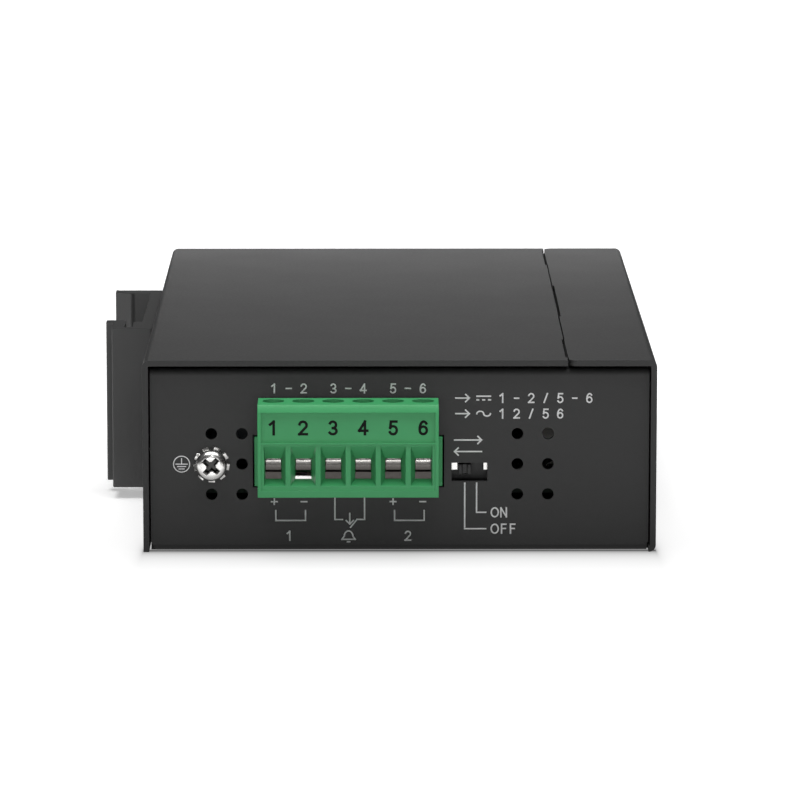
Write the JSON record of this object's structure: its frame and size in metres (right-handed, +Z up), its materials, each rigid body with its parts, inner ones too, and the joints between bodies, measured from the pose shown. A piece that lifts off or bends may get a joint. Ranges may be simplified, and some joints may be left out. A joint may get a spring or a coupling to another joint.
{
  "type": "industrial media converter",
  "caption": "Slim black sheet-metal network media converter with a rail clip, a green pluggable screw terminal block, an earth screw, a mode slide switch and vent holes on its end panel",
  "frame": {"origin": "centre of the housing's bottom face", "axes": "X from the rail side to the port side, Y from the terminal end to the far end, Z up"},
  "size_m": [0.097, 0.1435, 0.0332],
  "materials": {
    "painted_sheet": "fine matt black powder coat",
    "black_aluminium": "black anodised",
    "zinc_steel": "bright zinc plate",
    "spring_steel": "bright drawn wire",
    "green_plastic": "moulded green",
    "tin_brass": "tin plated",
    "nickel_steel": "nickel plated",
    "black_plastic": "moulded black",
    "circuit_board": "green solder mask",
    "clear_plastic": "clear moulded",
    "white_plastic": "white moulded",
    "relay_plastic": "blue case",
    "yellow_tape": "taped winding",
    "dark_ferrite": "ferrite",
    "gold_contact": "gold plated",
    "sleeve_plastic": "shrink sleeve"
  },
  "bodies": {
    "housing": {"base_chassis": "painted_sheet", "rear_cover": "painted_sheet", "cover_screws": "black_aluminium", "din_clip": "black_aluminium", "clip_screws": "zinc_steel", "clip_nuts": "zinc_steel", "rail_spring": "spring_steel", "earth_screw": "zinc_steel", "earth_washer": "zinc_steel", "earth_nut": "zinc_steel", "main_board": "circuit_board", "board_standoffs": "zinc_steel", "board_screws": "zinc_steel", "terminal_header": "green_plastic", "header_pins": "tin_brass", "switch_frame": "nickel_steel", "switch_body": "black_plastic", "light_guide": "clear_plastic", "status_leds": "white_plastic", "alarm_relay": "relay_plastic", "power_transformer": "yellow_tape", "power_choke": "dark_ferrite", "rectifiers": "black_plastic", "memory_chips": "black_plastic", "crystal_can": "nickel_steel", "switch_chip": "black_plastic", "heat_sink": "black_aluminium", "bulk_capacitors": "sleeve_plastic", "jack_shield_1": "nickel_steel", "jack_insert_1": "black_plastic", "jack_contacts_1": "gold_contact", "sfp_cage_1": "nickel_steel", "sfp_socket_1": "black_plastic", "jack_shield_2": "nickel_steel", "jack_insert_2": "black_plastic", "jack_contacts_2": "gold_contact", "sfp_cage_2": "nickel_steel", "sfp_socket_2": "black_plastic"},
    "plug": {"terminal_plug": "green_plastic", "plug_contacts": "tin_brass"},
    "switch_knob": {"switch_knob": "black_plastic"},
    "clamp_screw_1": {"clamp_screw_1": "zinc_steel"},
    "clamp_cage_1": {"clamp_cage_1": "nickel_steel"},
    "clamp_screw_2": {"clamp_screw_2": "zinc_steel"},
    "clamp_cage_2": {"clamp_cage_2": "nickel_steel"},
    "clamp_screw_3": {"clamp_screw_3": "zinc_steel"},
    "clamp_cage_3": {"clamp_cage_3": "nickel_steel"},
    "clamp_screw_4": {"clamp_screw_4": "zinc_steel"},
    "clamp_cage_4": {"clamp_cage_4": "nickel_steel"},
    "clamp_screw_5": {"clamp_screw_5": "zinc_steel"},
    "clamp_cage_5": {"clamp_cage_5": "nickel_steel"},
    "clamp_screw_6": {"clamp_screw_6": "zinc_steel"},
    "clamp_cage_6": {"clamp_cage_6": "nickel_steel"}
  },
  "joints": [
    {"name": "plug_pull", "type": "slide", "parent": "housing", "child": "plug", "axis": [0, -1, 0], "range_m": [0, 0.01]},
    {"name": "mode_slide", "type": "slide", "parent": "housing", "child": "switch_knob", "axis": [1, 0, 0], "range_m": [0, 0.002]},
    {"name": "clamp_turn_1", "type": "hinge", "parent": "plug", "child": "clamp_screw_1", "pos_m": [-0.02145, -0.0712, 0.0269], "axis": [0, 0, 1], "range_deg": [-181, 1081]},
    {"name": "clamp_lift_1", "type": "slide", "parent": "plug", "child": "clamp_cage_1", "axis": [0, 0, 1], "range_m": [-0.0015, 0.00025]},
    {"name": "clamp_turn_2", "type": "hinge", "parent": "plug", "child": "clamp_screw_2", "pos_m": [-0.01637, -0.0712, 0.0269], "axis": [0, 0, 1], "range_deg": [-685, 577]},
    {"name": "clamp_lift_2", "type": "slide", "parent": "plug", "child": "clamp_cage_2", "axis": [0, 0, 1], "range_m": [-0.0008, 0.00095]},
    {"name": "clamp_turn_3", "type": "hinge", "parent": "plug", "child": "clamp_screw_3", "pos_m": [-0.01129, -0.0712, 0.0269], "axis": [0, 0, 1], "range_deg": [-181, 1081]},
    {"name": "clamp_lift_3", "type": "slide", "parent": "plug", "child": "clamp_cage_3", "axis": [0, 0, 1], "range_m": [-0.0015, 0.00025]},
    {"name": "clamp_turn_4", "type": "hinge", "parent": "plug", "child": "clamp_screw_4", "pos_m": [-0.00621, -0.0712, 0.0269], "axis": [0, 0, 1], "range_deg": [-181, 1081]},
    {"name": "clamp_lift_4", "type": "slide", "parent": "plug", "child": "clamp_cage_4", "axis": [0, 0, 1], "range_m": [-0.0015, 0.00025]},
    {"name": "clamp_turn_5", "type": "hinge", "parent": "plug", "child": "clamp_screw_5", "pos_m": [-0.00113, -0.0712, 0.0269], "axis": [0, 0, 1], "range_deg": [-181, 1081]},
    {"name": "clamp_lift_5", "type": "slide", "parent": "plug", "child": "clamp_cage_5", "axis": [0, 0, 1], "range_m": [-0.0015, 0.00025]},
    {"name": "clamp_turn_6", "type": "hinge", "parent": "plug", "child": "clamp_screw_6", "pos_m": [0.00395, -0.0712, 0.0269], "axis": [0, 0, 1], "range_deg": [-181, 1081]},
    {"name": "clamp_lift_6", "type": "slide", "parent": "plug", "child": "clamp_cage_6", "axis": [0, 0, 1], "range_m": [-0.0015, 0.00025]}
  ],
  "couplings": [
    {"joint": "clamp_turn_1", "follows": "clamp_lift_1", "rad_per_m": -12566},
    {"joint": "clamp_turn_2", "follows": "clamp_lift_2", "rad_per_m": -12566},
    {"joint": "clamp_turn_3", "follows": "clamp_lift_3", "rad_per_m": -12566},
    {"joint": "clamp_turn_4", "follows": "clamp_lift_4", "rad_per_m": -12566},
    {"joint": "clamp_turn_5", "follows": "clamp_lift_5", "rad_per_m": -12566},
    {"joint": "clamp_turn_6", "follows": "clamp_lift_6", "rad_per_m": -12566}
  ]
}
